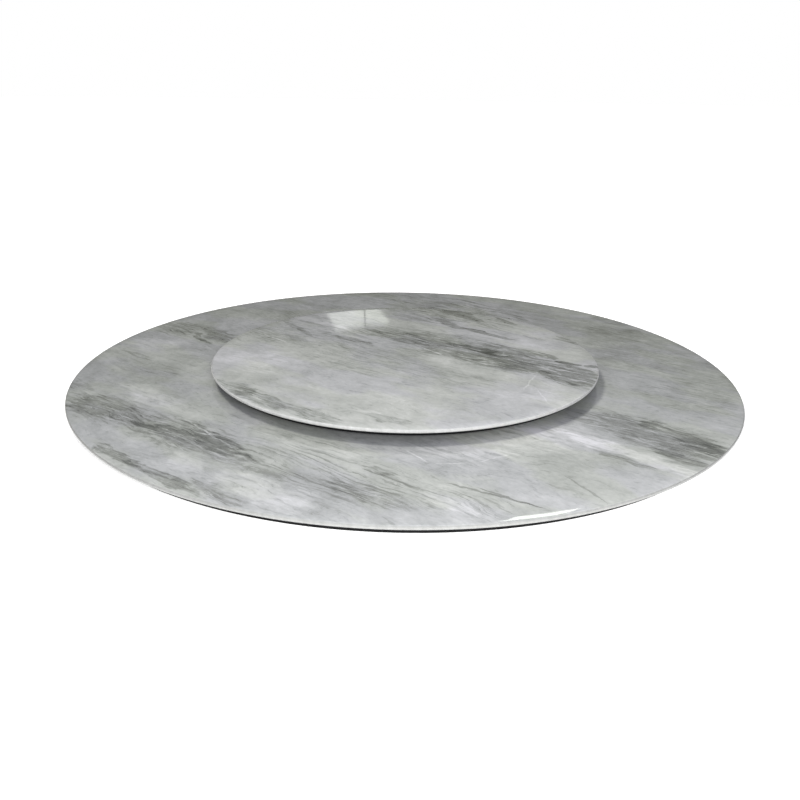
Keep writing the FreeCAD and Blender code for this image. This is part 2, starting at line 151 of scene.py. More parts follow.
def turned(radius, height, steps=ROUND_STEPS):
    """A surface round the Z axis. Row r carried round by angle a is (radius cos a, radius sin a,
    height), where radius and height are one number for a row or one for each angle. Rows run outwards
    along the top, so that faces point out; a last row equal to the first closes the ring."""
    rows = len(radius)
    angle = np.arange(steps) * 2 * np.pi / steps
    radius, height = (np.asarray(size, float).reshape(rows, -1) for size in (radius, height))
    points = np.stack([radius * np.cos(angle), radius * np.sin(angle), height + 0 * angle], axis=-1)
    row, column = np.meshgrid(np.arange(rows - 1), np.arange(steps), indexing="ij")
    after = (column + 1) % steps
    faces = np.stack([row * steps + column, (row + 1) * steps + column,
                      (row + 1) * steps + after, row * steps + after], axis=-1)
    return points.reshape(-1, 3), faces.reshape(-1, 4)


def new_piece(name, points, faces, finish, body, slot, *nodes):
    """A piece from computed points and faces, in place of its CAD nodes; returns its mesh."""
    mesh = bpy.data.meshes.new(name)
    mesh.from_pydata(points.tolist(), [], faces.tolist())
    shade(mesh)
    put_in_place(name, mesh, finish, body, nodes)
    return mesh


# Extruded ABS: near-black and satin, with the faint lengthwise drag of the die, and a painted sheen that
# lightens its raised streaks.
abs_black = grained("satin_abs", (DIE_DRAG_LENGTH, DIE_DRAG_LENGTH, DIE_DRAG_WIDTH), detail=3,
                    low=BAND_BLACK, high=BAND_PAINTED_SHEEN, relief=0.03 * MM, strength=0.6,
                    Roughness=0.75, IOR=1.3)
for band, body in (("table_edge_band", "tabletop"), ("turntable_edge_band", "turntable")):
    low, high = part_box(band)
    bore, edge, broken = high.x - BAND_THICKNESS, high.x, BAND_CORNER
    points, faces = turned([bore, edge - broken, edge, edge, edge - broken, bore, bore],
                           [high.z, high.z, high.z - broken, low.z + broken, low.z, low.z, high.z])
    new_piece(f"{band}_strip", points, faces, abs_black, body, "edge_banding", band)


# Steelwork. A 4 mm plate that a pedestal bolts to, and four flat bars out to the rim, let in flush
# under the board. Laser-cut mild steel, drilled, countersunk and powder-coated black.
COAT_BLACK, COAT_PAINTED_SHEEN = "#18181a", "#2a2a2d"
PEEL_SIZE = 1.6 * MM

# Powder coat: low-gloss black with the soft dimples of orange peel, and a painted sheen that lightens the
# dimples' crests.
powder_coat = grained("black_powder_coat", (PEEL_SIZE, PEEL_SIZE, PEEL_SIZE), detail=2, low=COAT_BLACK,
                      high=COAT_PAINTED_SHEEN, relief=0.12 * MM, strength=0.5, Roughness=0.46)
for steel in ("pedestal_plate", "stiffener_1", "stiffener_2", "stiffener_3", "stiffener_4"):
    smooth_node(steel, powder_coat, "tabletop")


# Weld nuts. Four M8 hexagon nuts welded over the plate's bolt holes for the pedestal's bolts. Forged
# steel, chamfered at the top corners, tapped and zinc-plated.
ZINC_BLUE, ZINC_STRAW = "#b2b8c2", "#c6c3b8"
ZINC_HAZE = 6 * MM
NUT_COUNT = 4
NUT_FLATS, NUT_BORE, NUT_CHAMFER_CIRCLE = 13 * MM, 4 * MM, 6.2 * MM    # a width and two radii
NUT_CHAMFER = math.radians(30)
NUT_PITCH, NUT_THREAD_DEPTH = 1.25 * MM, 0.4 * MM
NUT_STEPS, ROWS_PER_TURN = 72, 6


def thread(angle, height, pitch):
    """0 at the root and 1 at the crest of a single helix that climbs one pitch each turn: how far the
    height is through its pitch, less the angle's share of a turn, folded about a half."""
    through = (height / pitch - angle / (2 * np.pi)) % 1
    return np.abs(2 * through - 1)


def spread(points, faces, places):
    """One shape repeated: each copy turned about its own axis and moved to its place (x, y, turn)."""
    x, y, turn = np.array(places, float).T[..., None]
    moved = np.stack([points[:, 0] * np.cos(turn) - points[:, 1] * np.sin(turn) + x,
                      points[:, 0] * np.sin(turn) + points[:, 1] * np.cos(turn) + y,
                      points[:, 2] + 0 * x], axis=-1)
    later = np.arange(len(x)) * len(points)
    return moved.reshape(-1, 3), (faces + later[:, None, None]).reshape(-1, 4)


def places_round(radius, count, start=0.0):
    """Places evenly round the table's axis, each turned with its own angle."""
    angle = start + np.arange(count) * 2 * np.pi / count
    return np.stack([radius * np.cos(angle), radius * np.sin(angle), angle], axis=-1)


def weld_nut(bottom, top):
    """A hexagon nut about its own axis. Across angle a the side is half the flats over the cosine of
    the angle from the nearest flat's middle; the top slopes down beyond the chamfer circle; the
    thread's crest stands in from the bore."""
    angle = np.arange(NUT_STEPS) * 2 * np.pi / NUT_STEPS
    side = NUT_FLATS / 2 / np.cos((angle % (np.pi / 3)) - np.pi / 6)
    crown = np.minimum(side, NUT_CHAMFER_CIRCLE)
    sloped = top - (side - crown) * math.tan(NUT_CHAMFER)
    rows = int(ROWS_PER_TURN * (top - bottom) / NUT_PITCH)
    up = np.linspace(bottom, top, rows)[:, None]
    bore = NUT_BORE - NUT_THREAD_DEPTH * thread(angle, up - bottom, NUT_PITCH)
    radius = np.vstack([bore[-1:], [crown], [side], [side], bore])
    height = np.vstack([up[-1:] + 0 * angle, [top + 0 * angle], [sloped], [bottom + 0 * angle],
                        up + 0 * angle])
    return turned(radius, height, NUT_STEPS)


# Zinc plate with clear passivate: bright, slightly hazed metal that shifts between blue and straw.
zinc = grained("zinc_plate", (ZINC_HAZE, ZINC_HAZE, ZINC_HAZE), detail=3, low=ZINC_BLUE, high=ZINC_STRAW,
               relief=0.02 * MM, strength=0.4, Metallic=1.0, Roughness=0.3)
low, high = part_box("weld_nuts")
nut_corner = NUT_FLATS / 2 / math.cos(math.pi / 6)
bolt_circle = (high.x - nut_corner) * math.sqrt(2)
points, faces = weld_nut(low.z, high.z)
first_place = math.pi / NUT_COUNT
places = places_round(bolt_circle, NUT_COUNT, first_place)
places[:, 2] -= first_place    # the first nut points a corner along X
points, faces = spread(points, faces, places)
new_piece("weld_nuts_tapped", points, faces, zinc, "tabletop", "zinc_plated_steel", "weld_nuts")


# Screws. Countersunk 4 mm wood and machine screws with cross recesses hold the steelwork to the
# board, the outer race's halves together and the inner race to its backer. Rolled steel, zinc-plated.
HEAD_RADIUS, HEAD_HEIGHT, SHANK_RADIUS = 3.9 * MM, 2 * MM, 2 * MM
HEAD_BREAK = 0.15 * MM
CROSS_LENGTH, CROSS_WIDTH, CROSS_DEPTH = 2.1 * MM, 0.42 * MM, 1.3 * MM    # half length, half width
CROSS_FLOOR = 0.55    # the recess narrows to this share of its mouth
SCREW_PITCH, SCREW_THREAD_DEPTH, TIP_LENGTH = 1.4 * MM, 0.5 * MM, 2.5 * MM
SCREW_STEPS = 48
PLATE_SCREWS, RING_SCREWS = 4, 6
BARS, BAR_SCREWS, BAR_SCREW_MARGIN = 4, 3, 25 * MM
NOT_ZERO = 1e-9


def screw(length):
    """A countersunk screw with its head's face at 0 and its tip at a height of the length. The recess
    is a plus sign: at angle a it reaches to the end or the side of an arm, whichever is nearer, and
    to the further of the two arms. Below the head the thread's crest is the shank's own radius."""
    angle = np.arange(SCREW_STEPS) * 2 * np.pi / SCREW_STEPS
    away = np.abs(np.stack([np.cos(angle), np.sin(angle)])) + NOT_ZERO
    arms = np.minimum(CROSS_LENGTH / away, CROSS_WIDTH / away[::-1])
    cross = arms.max(axis=0)
    rows = int(ROWS_PER_TURN * (length - HEAD_HEIGHT) / SCREW_PITCH)
    up = np.linspace(HEAD_HEIGHT, length, rows)[:, None]
    point = np.clip((length - up) / TIP_LENGTH, 0, 1)
    shank = (SHANK_RADIUS - SCREW_THREAD_DEPTH * (1 - thread(angle, up, SCREW_PITCH))) * point
    flat = np.ones_like(angle)
    radius = np.vstack([shank[::-1], [SHANK_RADIUS * flat], [HEAD_RADIUS * flat],
                        [(HEAD_RADIUS - HEAD_BREAK) * flat], [cross], [cross * CROSS_FLOOR], [0 * flat]])
    height = np.vstack([up[::-1] * flat, [HEAD_HEIGHT * flat], [2 * HEAD_BREAK * flat], [0 * flat],
                        [0 * flat], [CROSS_DEPTH * flat], [CROSS_DEPTH * flat]])
    return turned(radius, height, SCREW_STEPS)


def screws(node, body, count, radii=None, downward=False):
    """A node's screws between its own lowest and highest points: so many round the table's axis at
    each radius, or at the one that its box gives."""
    low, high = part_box(node)
    radii = [high.x - HEAD_RADIUS] if radii is None else radii
    points, faces = screw(high.z - low.z)
    if downward:
        points = points * (1, -1, -1) + (0, 0, high.z)
    else:
        points = points + (0, 0, low.z)
    places = np.concatenate([places_round(radius, count) for radius in radii])
    points, faces = spread(points, faces, places)
    new_piece(f"{node}_threaded", points, faces, zinc, body, "zinc_plated_steel", node)


bar_start, bar_end = (corner.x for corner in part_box("stiffener_1"))
bar_radii = np.linspace(bar_start + BAR_SCREW_MARGIN, bar_end - BAR_SCREW_MARGIN, BAR_SCREWS)
screws("plate_screws", "tabletop", PLATE_SCREWS)
screws("stiffener_screws", "tabletop", BARS, bar_radii)


# Rubber feet. Six moulded EPDM discs pressed into the ring's base, which it stands on without
# sliding or marking the stone. The rim is radiused and the gate leaves a dimple in the middle.
RUBBER_BLACK, RUBBER_BLOOM = "#141414", "#222223"
SPARK_GRAIN = 0.8 * MM
FOOT_RADIUS, FOOT_COUNT, FOOT_STEPS = 7 * MM, 6, 48
FOOT_BREAK, FOOT_ROUNDING = 0.3 * MM, 0.8 * MM    # the upper and the lower corner
ROUNDING_IN, ROUNDING_UP = 0.2 * MM, 0.25 * MM    # halfway round the lower corner
DIMPLE_RADIUS, DIMPLE_SLOPE, DIMPLE_DEPTH = 2 * MM, 0.4 * MM, 0.5 * MM

# Moulded rubber: matt black with a spark-eroded grain, drawn coarser than the real 0.1 mm so that it
# shows, and a faint grey bloom.
rubber = grained("moulded_rubber", (SPARK_GRAIN, SPARK_GRAIN, SPARK_GRAIN), detail=3, low=RUBBER_BLACK,
                 high=RUBBER_BLOOM, relief=0.05 * MM, strength=0.6, Roughness=0.8)
low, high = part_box("rubber_feet")
foot_circle = high.y - FOOT_RADIUS
radius = [0, FOOT_RADIUS - FOOT_BREAK, FOOT_RADIUS, FOOT_RADIUS, FOOT_RADIUS - ROUNDING_IN,
          FOOT_RADIUS - FOOT_ROUNDING, DIMPLE_RADIUS, DIMPLE_RADIUS - DIMPLE_SLOPE, 0]
height = [high.z, high.z, high.z - FOOT_BREAK, low.z + FOOT_ROUNDING, low.z + ROUNDING_UP,
          low.z, low.z, low.z + DIMPLE_DEPTH, low.z + DIMPLE_DEPTH]
points, faces = turned(radius, height, FOOT_STEPS)
points, faces = spread(points, faces, places_round(foot_circle, FOOT_COUNT, math.pi / FOOT_COUNT))
new_piece("rubber_feet_moulded", points, faces, rubber, "tabletop", "rubber", "rubber_feet")


# Ring bearing. Two aluminium half races clamped by screws make the outer track, and one ring screwed
# under the turntable makes the inner one. Turned from tube, then clear anodised.
ALLOY, ALLOY_DEEP = "#d0d2d4", "#b6b9bd"
TOOL_MARK, MARK_RELIEF = 0.7 * MM, 0.03 * MM


def turned_alloy():
    """Anodised aluminium off the lathe: a pale satin metal with fine rings of tool marks about the
    axis. The marks are drawn coarser than the real 0.1 mm feed, so that they show."""
    finish, tree, sockets = new_finish("anodised_aluminium", Metallic=1.0, Roughness=0.34)
    place = add_node(tree, "TexCoord").outputs["Object"]
    flat = add_node(tree, "VectorMath", {0: place, 1: (1, 1, 0)}, operation="MULTIPLY").outputs[0]
    radius = add_node(tree, "VectorMath", {0: flat}, operation="LENGTH").outputs["Value"]
    height = add_node(tree, "SeparateXYZ", {0: place}).outputs["Z"]
    along = add_node(tree, "Math", {0: radius, 1: height}, operation="ADD").outputs[0]
    feed = add_node(tree, "Math", {0: along, 1: 1 / TOOL_MARK}, operation="MULTIPLY").outputs[0]
    marks = add_node(tree, "TexNoise", {"W": feed, "Scale": 1, "Detail": 2},
                     noise_dimensions="1D").outputs[0]
    colour = add_node(tree, "ValToRGB", {"Fac": marks}, {0.3: ALLOY_DEEP, 0.65: ALLOY}).outputs[0]
    raised = add_node(tree, "Bump", {"Height": marks, "Distance": MARK_RELIEF, "Strength": 0.5}).outputs[0]
    tree.links.new(colour, sockets["Base Color"])
    tree.links.new(raised, sockets["Normal"])
    return finish


alloy = turned_alloy()
smooth_node("outer_race_base", alloy, "tabletop")
smooth_node("outer_race_cover", alloy, "tabletop")
smooth_node("inner_race", alloy, "turntable")
screws("cover_screws", "tabletop", RING_SCREWS, downward=True)
screws("inner_race_screws", "turntable", RING_SCREWS)


# Balls and cage. A moulded nylon ring keeps 24 hardened steel balls evenly spaced in the track, and
# rolls round with them at about half of the turntable's speed.
NYLON, NYLON_DEEP = "#ece7da", "#dcd5c4"
CHROME_STEEL, CHROME_STEEL_DEEP = "#cfd1d4", "#c0c3c7"
MELT_MOTTLE, GREASE_CLOUD = 7 * MM, 2 * MM
BALL_RADIUS, BALL_COUNT, BALL_STEPS = 3 * MM, 24, 32

# Natural nylon: milky off-white with a low gloss and the slight mottle of the melt.
nylon = grained("natural_nylon", (MELT_MOTTLE, MELT_MOTTLE, MELT_MOTTLE), detail=3, low=NYLON_DEEP,
                high=NYLON, relief=0.03 * MM, strength=0.4, Roughness=0.42, IOR=1.53,
                Subsurface_Weight=0.1)
smooth_node("ball_cage", nylon, "ball_train")

# Lapped bearing steel: a bright mirror with the lightest clouding of grease.
bright_steel = grained("bearing_steel", (GREASE_CLOUD, GREASE_CLOUD, GREASE_CLOUD), detail=3,
                       low=CHROME_STEEL_DEEP, high=CHROME_STEEL, relief=0.01 * MM, strength=0.3,
                       Metallic=1.0, Roughness=0.09)
low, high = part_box("bearing_balls")
turn = np.linspace(0, np.pi, BALL_STEPS // 2 + 1)
height = (low.z + high.z) / 2 + BALL_RADIUS * np.cos(turn)
points, faces = turned(BALL_RADIUS * np.sin(turn), height, BALL_STEPS)
points, faces = spread(points, faces, places_round(high.x - BALL_RADIUS, BALL_COUNT))
new_piece("bearing_balls_lapped", points, faces, bright_steel, "ball_train", "bearing_steel",
          "bearing_balls")


# Stone slabs. Two discs of polished sintered stone, 9 mm thick, bonded to the boards. Their edges are
# ground to a bullnose, and polishing makes each face fall away a little at its margin. The veined
# layer is only on the face: the ground edge and the underside show the plain body under it.
EDGE_ROUNDING, EDGE_FALL, EDGE_FALL_WIDTH = 4.2 * MM, 0.8 * MM, 20 * MM
FACE_MARGIN, EDGE_BLEND = 2.4 * MM, 0.8 * MM    # where the veined layer ends, and over how much
FALL_STEPS, ROUNDING_STEPS = 8, 10
UPPER_PLAN, UNDER_PLAN, UNDER_CENTRE = 0.495, 0.08, 0.086    # radii and a centre, as shares of the map

STONE_TONES = {0.0: "#373933", 0.2: "#5b5d58", 0.4: "#7c7e7a",
               0.6: "#9a9c9a", 0.8: "#b6b7b6", 1.0: "#d3d3d4"}
STONE_HUES, HUE_SHARE = {0.2: "#f9fcf6", 0.8: "#fafbff"}, 0.8
# The table's body tones are darker than the turntable's. This is painted shade that holds back the stronger
# light its rim takes from the floor and the softbox.
TABLE_TONE, TABLE_BODY_SHADED = 0.655, {0.2: "#8b8c8a", 0.8: "#959694"}
TURNTABLE_TONE, TURNTABLE_BODY = 0.77, {0.2: "#b2b3b1", 0.8: "#bebfbd"}
GLAZE_ROUGHNESS, GLAZE_SMEAR, GLAZE_RELIEF = 0.06, 0.025, 0.01 * MM

# The pattern's layers are noises dragged along the veins: the length and width of each one's features
# in mm, its octaves of detail, how rough those are, and its own place in the noise, in metres.
VEIN_TURN = math.radians(-36)
TURNTABLE_SHIFT = 4.3    # metres between the two slabs' places in the noise
LAYERS = {
    "swirl": (320, 240, 1, 0.5, 51),        # bends the bedding
    "ripple": (80, 30, 5, 0.54, 3),         # makes the marks' edges wander
    "hair_ripple": (24, 16, 4, 0.6, 41),    # makes the hairlines wander
    "shear": (120, 16, 2, 0.5, 5),          # slides the streaks past one another
    "fray": (80, 11, 5, 0.68, 0),           # wears the beds' edges into streaks
    "clouds": (240, 170, 2, 0.5, 17),
    "blotches": (64, 44, 4, 0.6, 7),
    "mottle": (13, 10, 3, 0.7, 9),
    "zones": (190, 110, 3, 0.6, 19),        # where strokes and dark cracks gather
    "strokes": (70, 7, 3, 0.6, 11),
    "comb": (150, 9, 5, 0.65, 23),
    "speckle": (48, 7, 4, 0.72, 15),
    "flecks": (22, 9, 5, 0.6, 35),
    "pale_cracks": (60, 30, 4, 0.6, 67),
    "dark_cracks": (120, 70, 4, 0.6, 73),
    "tint": (260, 120, 3, 0.5, 29),
    "smear": (120, 90, 5, 0.6, 31),         # where the glaze was wiped
    "polish": (30, 30, 2, 0.5, 37),
}

# Each mark is a soft oval in the stone: its centre (x, y), half length and half width in mm, its turn
# in degrees, and its tone, dark below 0 and light above. Combed zones are ovals of fine dark streaks,
# and hairlines are ovals so narrow that they read as cracks. A pale mark fades over PALE_FADE of its
# oval, and a dark one over DARK_FADE and more the wider it is, up to WIDEST_FADE.
PALE_FADE, DARK_FADE, WIDEST_FADE, FADE_WIDTH = 0.65, 0.22, 0.5, 260
FRAY = 1.1    # how deep the fray layer cuts into a mark

TABLE_MARKS = [
    # dark beds
    (-611, -283, 120, 78, -35, -0.26),
    (-695, -210, 120, 34, -68, -0.10),
    (-425, -415, 215, 74, -34, -0.23),
    (-470, -390, 85, 16, -25, -0.28),
    (-345, -455, 95, 28, -43, -0.22),
    (-515, -512, 85, 13, -42, -0.26),
    (-420, -588, 95, 20, -38, -0.27),
    (-320, -642, 105, 28, -33, -0.20),
    (-150, -610, 210, 42, -30, -0.09),
    (-60, -645, 110, 34, -33, -0.14),
    (-45, -560, 40, 16, -40, -0.16),
    (480, -382, 195, 92, -42, -0.27),
    (494, -335, 38, 30, -20, -0.22),
    (500, -487, 66, 28, -45, -0.24),
    (565, -440, 70, 36, -45, -0.26),
    (398, -498, 75, 15, -43, -0.22),
    (-606, 300, 84, 70, -20, -0.20),
    (-490, 235, 110, 38, -58, -0.26),
    (-528, 208, 70, 10, -58, -0.26),
    (-650, 60, 76, 10, -37, -0.16),
    (-600, -30, 120, 54, -30, -0.07),
    (550, 330, 150, 120, -55, -0.06),
    (530, 335, 80, 22, -44, -0.08),
    (575, 440, 70, 26, -40, -0.13),
    (645, 318, 70, 22, -40, -0.06),
    (672, -172, 70, 22, -60, -0.08),
    (600, -195, 150, 90, -48, -0.09),
    (78, 541, 64, 8, -38, -0.15),
    (197, 632, 64, 9, -38, -0.15),
    # broad darker tones; the first two are painted shade, darkening the far side
    (-330, 520, 260, 130, -20, -0.03),
    (0, 660, 950, 460, 0, -0.02),
    (630, 60, 260, 200, -60, -0.08),
    # light beds
    (-530, -222, 150, 42, -42, 0.16),
    (-378, -535, 70, 44, -60, 0.12),
    (-390, -575, 100, 60, -38, 0.08),
    (-520, -440, 90, 36, -45, 0.05),
    (-230, -640, 130, 66, -33, 0.20),
    (20, -490, 260, 60, -8, 0.07),
    # these two are painted light: they lighten the stone in the turntable's cast shadow at its front right
    (200, -430, 250, 90, 14, 0.18),
    (235, -375, 150, 60, 32, 0.09),
    (412, -474, 190, 34, -43, 0.24),
    (85, -690, 70, 22, -40, 0.18),
    (-625, 155, 100, 54, -10, 0.14),
    (-440, 385, 90, 60, -30, 0.08),
]
TABLE_COMBED = [
    (-150, -545, 240, 130, -29, 1.0),
    (70, -655, 150, 60, -28, 0.9),
    (-420, -410, 200, 70, -34, 0.6),
    (150, 560, 440, 130, -30, 1.15),
]
TABLE_HAIRLINES = [
    (-375, -405, 110, 3.0, -48, 0.35),
    (24, -498, 42, 3.0, -52, 0.25),
    (84, -527, 38, 2.6, 5, 0.18),
    (165, -500, 50, 2.6, 30, 0.14),
    (140, -640, 90, 3.4, -29, -0.30),
    (175, -655, 70, 3.0, -34, -0.30),
    (304, -617, 62, 2.6, -62, -0.20),
]
TURNTABLE_MARKS = [
    # the dark bed, from its narrow root to its broad end
    (-10, 155, 120, 42, -48, -0.16),
    (165, 50, 290, 118, -40, -0.25),
    (160, 64, 82, 22, -32, -0.34),
    (235, -40, 150, 50, -44, -0.10),
    (60, 118, 110, 40, -48, -0.08),
    (265, -50, 120, 66, -50, -0.08),
    (262, 22, 125, 58, -48, -0.15),
    (378, -132, 110, 80, -60, -0.40),
    # flecks beside it
    (338, 12, 40, 8, -58, -0.26),
    (378, -40, 38, 16, -25, -0.50),
    (426, -60, 18, 10, -20, -0.38),
    (120, 272, 64, 14, -50, -0.28),
    (215, 188, 96, 12, -38, -0.30),
    (268, 310, 54, 12, -58, -0.27),
    (143, 389, 60, 26, -46, -0.20),
    (183, 335, 44, 22, -50, -0.12),
    (329, 158, 40, 8, -30, -0.13),
    (408, 134, 54, 16, -55, -0.20),
    (-275, 215, 96, 14, -55, -0.18),
    (-130, 115, 76, 14, -40, -0.24),
    (-90, 190, 90, 34, -35, -0.14),
    (-355, -232, 80, 28, -45, -0.22),
    (-290, -297, 95, 32, -42, -0.24),
    (-185, -368, 95, 30, -36, -0.20),
    (-35, -394, 64, 16, -28, -0.18),
    # broad darker tones; the last is painted shade, darkening the far half
    (-300, 200, 260, 120, -38, -0.10),
    (20, -60, 300, 160, -20, -0.10),
    (-305, 115, 110, 66, -40, -0.06),
    (0, 430, 600, 230, 0, -0.10),
    # light beds
    (150, -88, 175, 50, -40, 0.13),
    (255, 125, 140, 50, -40, 0.10),
    (395, 55, 90, 46, -40, 0.04),
    (-60, -372, 90, 18, -30, 0.12),
    (-190, 245, 150, 12, -36, 0.16),
    (-335, -70, 130, 90, -20, 0.11),
]
TURNTABLE_COMBED = [
    (-120, 170, 200, 80, -40, 0.8),
    (200, 20, 200, 80, -42, 0.5),
    (100, 360, 310, 110, -38, 1.15),
]
TURNTABLE_HAIRLINES = [
    (62, 38, 62, 3.6, -50, 0.35),
    (-325, 125, 95, 3.0, -45, 0.22),
    (267, -179, 72, 2.8, 68, 0.16),
    (283, -254, 66, 2.6, -82, 0.12),
    (235, 30, 30, 2.6, 70, 0.14),
    (-190, 185, 80, 3.0, -36, 0.18),
]


def slab_profile(radius, bottom, top, rounding):
    """Half outline of a polished disc, as radii and heights: along the top, which falls away by the
    square of the distance over its margin, down the upper rounding to the widest point, round the
    lower one, which is a quarter of an ellipse, and back along the underside."""
    along = np.linspace(0, 1, FALL_STEPS)[:-1]
    slope = math.atan(2 * EDGE_FALL / EDGE_FALL_WIDTH)
    upper = np.linspace(slope, np.pi / 2, ROUNDING_STEPS)
    lower = np.linspace(np.pi / 2, np.pi, ROUNDING_STEPS)[1:]
    middle = radius - rounding
    end = middle + rounding * math.sin(slope)
    widest = top - EDGE_FALL - rounding * math.cos(slope)
    radii = [[0], end - EDGE_FALL_WIDTH * (1 - along), middle + rounding * np.sin(upper),
             middle + rounding * np.sin(lower), [0]]
    heights = [[top], top - EDGE_FALL * along ** 2, widest + rounding * np.cos(upper),
               bottom + (widest - bottom) * (1 + np.cos(lower)), [bottom]]
    return np.concatenate(radii), np.concatenate(heights)


def plan_map(mesh, radius, middle):
    """A UV map, named OFBake, for the slab's pattern: a plan view of all above its middle, which
    fills the square, and a small one of the plain underside in the corner that is left."""
    places, sizes = np.empty(3 * len(mesh.vertices)), np.empty(len(mesh.polygons), int)
    corners, centres = np.empty(len(mesh.loops), int), np.empty(3 * len(mesh.polygons))
    mesh.vertices.foreach_get("co", places)
    mesh.loops.foreach_get("vertex_index", corners)
    mesh.polygons.foreach_get("loop_total", sizes)
    mesh.polygons.foreach_get("center", centres)
    plan = places.reshape(-1, 3)[corners, :2] / radius
    above = np.repeat(centres[2::3] > middle, sizes)[:, None]
    plan = np.where(above, 0.5 + UPPER_PLAN * plan, UNDER_CENTRE + UNDER_PLAN * plan)
    mesh.uv_layers.new(name="OFBake").uv.foreach_set("vector", plan.ravel())


def polished_stone(name, base, marks, combed, hairlines, body_and_shade_tones, shift, edge_radius, middle):
    """Sintered stone with a marble print under a polished glaze: soft beds and streaks dragged one
    way, fine cracks, and a sharp low-roughness gloss over all of it. A colour mix takes its two
    colours in sockets 6 and 7."""
    finish, tree, sockets = new_finish(name, IOR=1.52)
    place = add_node(tree, "TexCoord").outputs["Object"]
    flat = add_node(tree, "VectorMath", {0: place, 1: (1, 1, 0)}, operation="MULTIPLY").outputs[0]

    def layer(kind, source, output=0):
        """One of the pattern's layers, around zero; with "Color" it is three at once, to move by."""
        length, width, detail, roughness, offset = LAYERS[kind]
        bedded = add_node(tree, "Mapping", {
            "Vector": source, "Location": (shift + offset, offset, 0), "Rotation": (0, 0, VEIN_TURN),
            "Scale": (length * MM, width * MM, MM)}, vector_type="TEXTURE").outputs[0]
        noise = add_node(tree, "TexNoise", {"Vector": bedded, "Scale": 1, "Detail": detail,
                                            "Roughness": roughness}, normalize=False, noise_type="FBM")
        return noise.outputs[output]

    def add(total, value, weight):
        """The total with so much of the value added."""
        return add_node(tree, "Math", {0: value, 1: weight, 2: total}, operation="MULTIPLY_ADD").outputs[0]

    def times(value, other):
        """The two values multiplied."""
        return add_node(tree, "Math", {0: value, 1: other}, operation="MULTIPLY").outputs[0]

    def ease(value, low, high):
        """0 below low, 1 above high and a smooth step between them."""
        return add_node(tree, "MapRange", {"Value": value, "From Min": low, "From Max": high},
                        interpolation_type="SMOOTHSTEP").outputs[0]

    def moved(source, noise, along=0, both=0):
        """A place moved by a noise: so many mm along the veins and so many both ways."""
        reach = (math.cos(VEIN_TURN) * along * MM + both * MM,
                 math.sin(VEIN_TURN) * along * MM + both * MM, 0)
        return add_node(tree, "VectorMath", {0: noise, 1: reach, 2: source},
                        operation="MULTIPLY_ADD").outputs[0]

    def ovals(source, marks, fray=0.0):
        """The sum of the marks' tones. Each fades from its middle to its edge, the narrow dark ones
        sharply, and a noise frays it."""
        total = 0.0
        for x, y, length, width, turn, tone in marks:
            oval = add_node(tree, "Mapping", {
                "Vector": source, "Location": (x * MM, y * MM, 0), "Rotation": (0, 0, math.radians(turn)),
                "Scale": (length * MM, width * MM, 1)}, vector_type="TEXTURE").outputs[0]
            near = add_node(tree, "TexGradient", {"Vector": oval}, gradient_type="SPHERICAL").outputs[1]
            frayed = times(near, add(1.0, fray, FRAY))
            fade = PALE_FADE if tone > 0 else min(DARK_FADE + width / FADE_WIDTH, WIDEST_FADE)
            total = add(total, ease(frayed, 0, fade), tone)
        return total

    def cracks(kind, source, thin):
        """Thin wandering lines where a layer crosses zero."""
        crossing = add_node(tree, "Math", {0: layer(kind, source)}, operation="ABSOLUTE").outputs[0]
        return add_node(tree, "Math", {0: 1.0, 1: ease(crossing, 0, thin)}, operation="SUBTRACT").outputs[0]

    ripple = layer("ripple", flat, "Color")
    rippled = moved(flat, ripple, both=14)
    beds = ovals(rippled, marks, layer("fray", moved(flat, ripple, both=9)))
    fan = ovals(rippled, combed)
    hairs = ovals(moved(flat, layer("hair_ripple", flat, "Color"), both=3), hairlines)
    # A dark bed counts in full where its marks come to -0.2 or less.
    dark_bed = add_node(tree, "Math", {0: beds, 1: -5.0}, operation="MULTIPLY", use_clamp=True).outputs[0]

    swirled = moved(flat, layer("swirl", flat, "Color"), both=45)
    streaked = moved(moved(swirled, layer("shear", flat), along=30), ripple, both=6)
    clouds = layer("clouds", swirled)
    blotches = layer("blotches", moved(swirled, ripple, both=12))
    mottle = layer("mottle", flat)
    zones = ease(layer("zones", swirled), 0.1, 0.45)
    strokes = ease(layer("strokes", streaked), 0.15, 0.45)
    comb = ease(layer("comb", moved(swirled, ripple, both=9)), -0.05, 0.5)
    speckle = layer("speckle", moved(flat, ripple, both=6))
    flecks = ease(layer("flecks", streaked), 0.42, 0.66)
    pale_cracks = cracks("pale_cracks", rippled, 0.03)
    dark_cracks = cracks("dark_cracks", rippled, 0.012)

    # Strokes gather in their zones, in dark beds and in combed ovals, and the comb in these ovals.
    busy = add(add(add(0.1, zones, 0.5), dark_bed, 0.9), fan, 0.5)
    combing = add(0.1, fan, 1.0)
    tone = base
    for share, weight in ((beds, 0.88), (hairs, 0.85), (clouds, 0.10), (blotches, 0.09), (mottle, 0.05),
                          (times(strokes, busy), -0.13), (times(comb, combing), -0.18), (fan, 0.02),
                          (times(speckle, dark_bed), 0.15), (flecks, -0.09),
                          (times(pale_cracks, dark_bed), 0.12), (times(dark_cracks, zones), -0.10)):
        tone = add(tone, share, weight)

    colour = add_node(tree, "ValToRGB", {"Fac": tone}, STONE_TONES).outputs[0]
    tint = ease(layer("tint", flat), -0.4, 0.4)
    hue = add_node(tree, "ValToRGB", {"Fac": tint}, STONE_HUES).outputs[0]
    veined = add_node(tree, "Mix", {0: HUE_SHARE, 6: colour, 7: hue}, data_type="RGBA",
                      blend_type="MULTIPLY").outputs[2]

